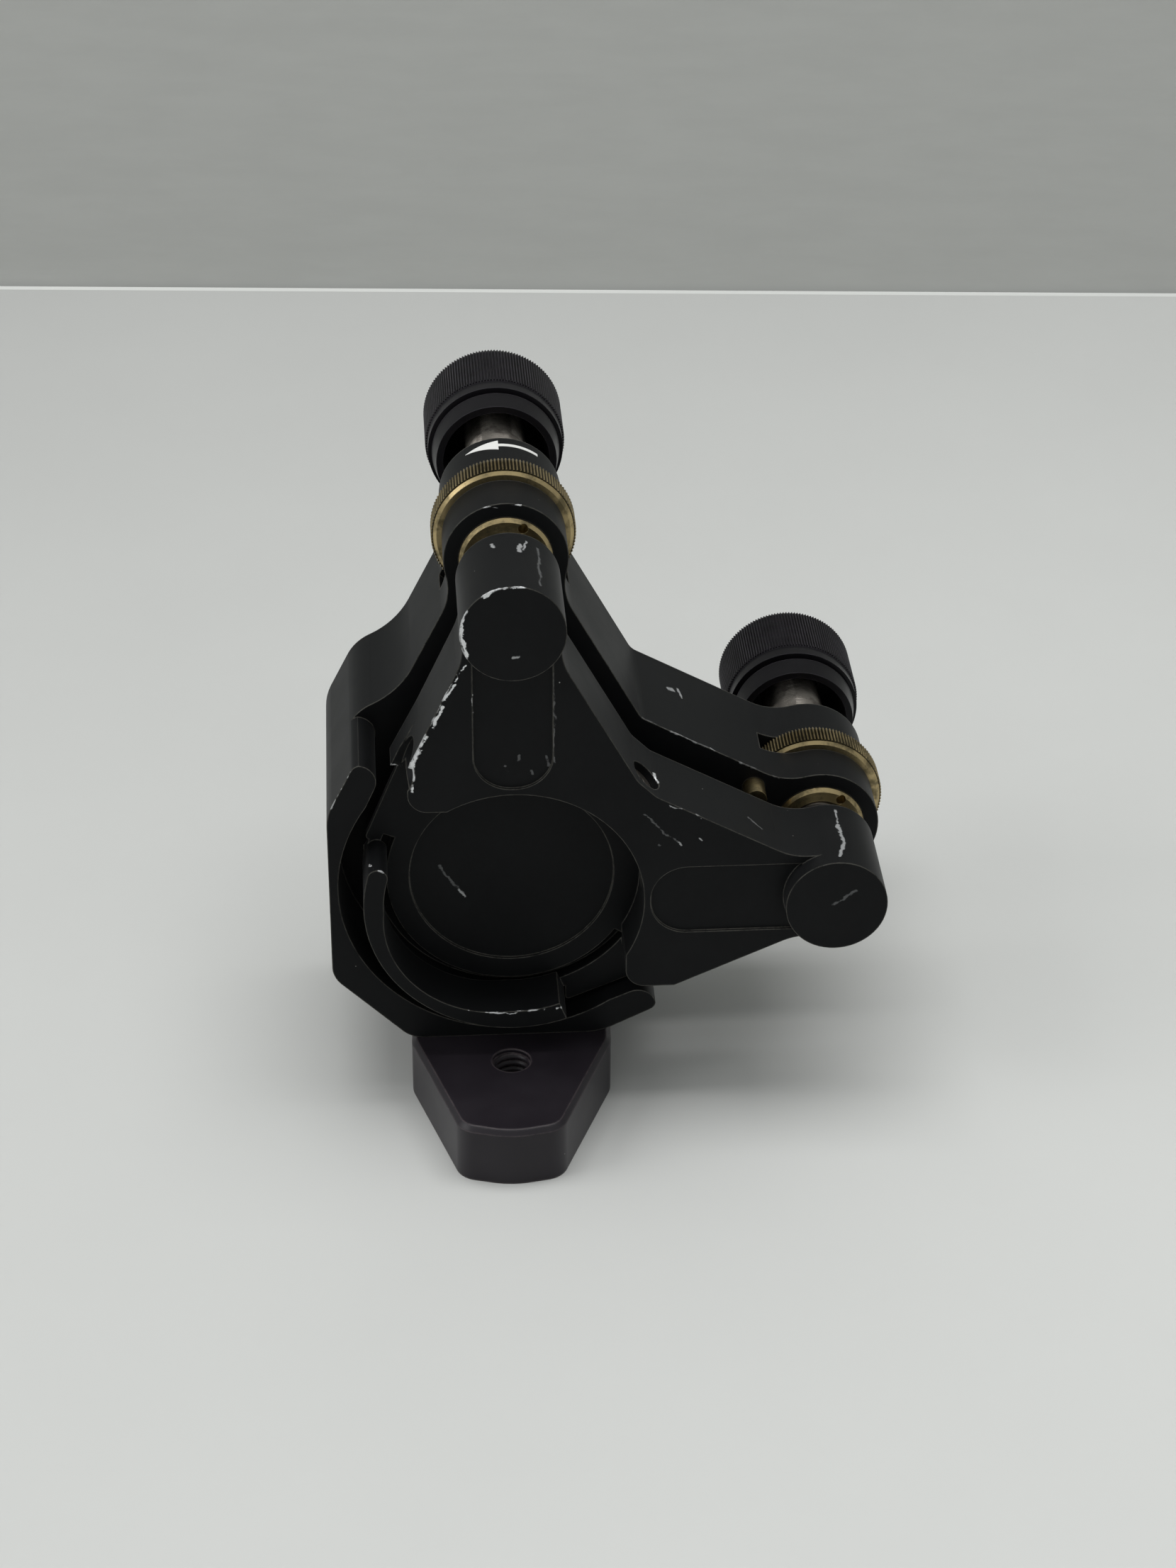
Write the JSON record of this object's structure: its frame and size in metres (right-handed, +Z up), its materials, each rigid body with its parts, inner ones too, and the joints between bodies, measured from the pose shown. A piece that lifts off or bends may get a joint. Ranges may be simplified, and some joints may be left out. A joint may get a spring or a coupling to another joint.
{
  "type": "kinematic mirror mount",
  "caption": "Kinematic mirror mount: a C-shaped back plate on a foot, and a front plate with a clamped optic cell that tilts on a ball by fine screws with lock rings.",
  "frame": {"origin": "on the axis of the optic cell, in the raised front face of the front plate", "axes": "+X to the right seen from the front, +Y to the back along the optic axis, +Z up"},
  "size_m": [0.0571, 0.0585, 0.0635],
  "materials": {
    "anodised_plate": "black anodised, matt, worn bright on some edges",
    "anodised_foot": "black anodised with a violet tint, satin",
    "black_knob": "black anodised, straight knurl",
    "brass_bushing": "turned",
    "brass_ring": "turned, fine straight knurl",
    "hardened_steel": "ground and polished",
    "steel": "bright",
    "nylon_tip": "natural white"
  },
  "bodies": {
    "base": {"foot": "anodised_foot", "foot_screw": "steel", "back_plate": "anodised_plate", "back_pivot_cup": "hardened_steel", "top_front_bushing": "brass_bushing", "right_front_bushing": "brass_bushing", "top_rear_bushing": "brass_bushing", "right_rear_bushing": "brass_bushing", "top_back_pin": "steel", "right_back_pin": "steel", "tilt_stop": "brass_bushing", "top_spring": "steel", "right_spring": "steel"},
    "top_lock": {"top_lock_ring": "brass_ring"},
    "right_lock": {"right_lock_ring": "brass_ring"},
    "top_tip": {"top_tip_ball": "hardened_steel"},
    "top_adjuster": {"top_screw": "steel", "top_knob": "black_knob"},
    "right_tip": {"right_tip_ball": "hardened_steel"},
    "right_adjuster": {"right_screw": "steel", "right_knob": "black_knob"},
    "pivot": {"pivot_ball": "hardened_steel"},
    "front": {"front_plate": "anodised_plate", "front_pivot_cup": "hardened_steel", "v_seat": "hardened_steel", "flat_seat": "hardened_steel", "top_front_pin": "steel", "right_front_pin": "steel"},
    "clamp_slide": {"clamp_tip": "nylon_tip"},
    "clamp": {"clamp_screw": "steel"}
  },
  "joints": [
    {"name": "top_feed", "type": "slide", "parent": "base", "child": "top_tip", "axis": [0, 1, 0], "range_m": [-0.00128, 0.00128]},
    {"name": "top_turn", "type": "hinge", "parent": "top_tip", "child": "top_adjuster", "pos_m": [0, 0, 0.03175], "axis": [0, 1, 0], "range_deg": [-1440, 1440]},
    {"name": "top_lock_turn", "type": "hinge", "parent": "base", "child": "top_lock", "pos_m": [0, 0, 0.03175], "axis": [0, 1, 0], "continuous": true},
    {"name": "right_feed", "type": "slide", "parent": "base", "child": "right_tip", "axis": [0, 1, 0], "range_m": [-0.00128, 0.00128]},
    {"name": "right_turn", "type": "hinge", "parent": "right_tip", "child": "right_adjuster", "pos_m": [0.03175, 0, 0], "axis": [0, 1, 0], "range_deg": [-1440, 1440]},
    {"name": "right_lock_turn", "type": "hinge", "parent": "base", "child": "right_lock", "pos_m": [0.03175, 0, 0], "axis": [0, 1, 0], "continuous": true},
    {"name": "pivot_yaw", "type": "hinge", "parent": "base", "child": "pivot", "pos_m": [0, 0.0108, 0], "axis": [0, 0, 1], "range_deg": [-2.29, 2.29], "deforming": ["right_spring"]},
    {"name": "plate_pitch", "type": "hinge", "parent": "pivot", "child": "front", "pos_m": [0, 0.0108, 0], "axis": [1, 0, 0], "range_deg": [-2.29, 2.29], "deforming": ["top_spring"]},
    {"name": "clamp_feed", "type": "slide", "parent": "front", "child": "clamp_slide", "axis": [0.7071, 0, 0.7071], "range_m": [-0.0012, 0]},
    {"name": "clamp_turn", "type": "hinge", "parent": "clamp_slide", "child": "clamp", "pos_m": [0.011, 0.00265, 0.011], "axis": [0.7071, 0, 0.7071], "range_deg": [-618, 0]}
  ],
  "couplings": [
    {"joint": "top_turn", "follows": "plate_pitch", "ratio": -628.32},
    {"joint": "top_feed", "follows": "plate_pitch", "m_per_rad": -0.03175},
    {"joint": "right_turn", "follows": "pivot_yaw", "ratio": 628.32},
    {"joint": "right_feed", "follows": "pivot_yaw", "m_per_rad": 0.03175},
    {"joint": "clamp_turn", "follows": "clamp_feed", "rad_per_m": 8976}
  ]
}
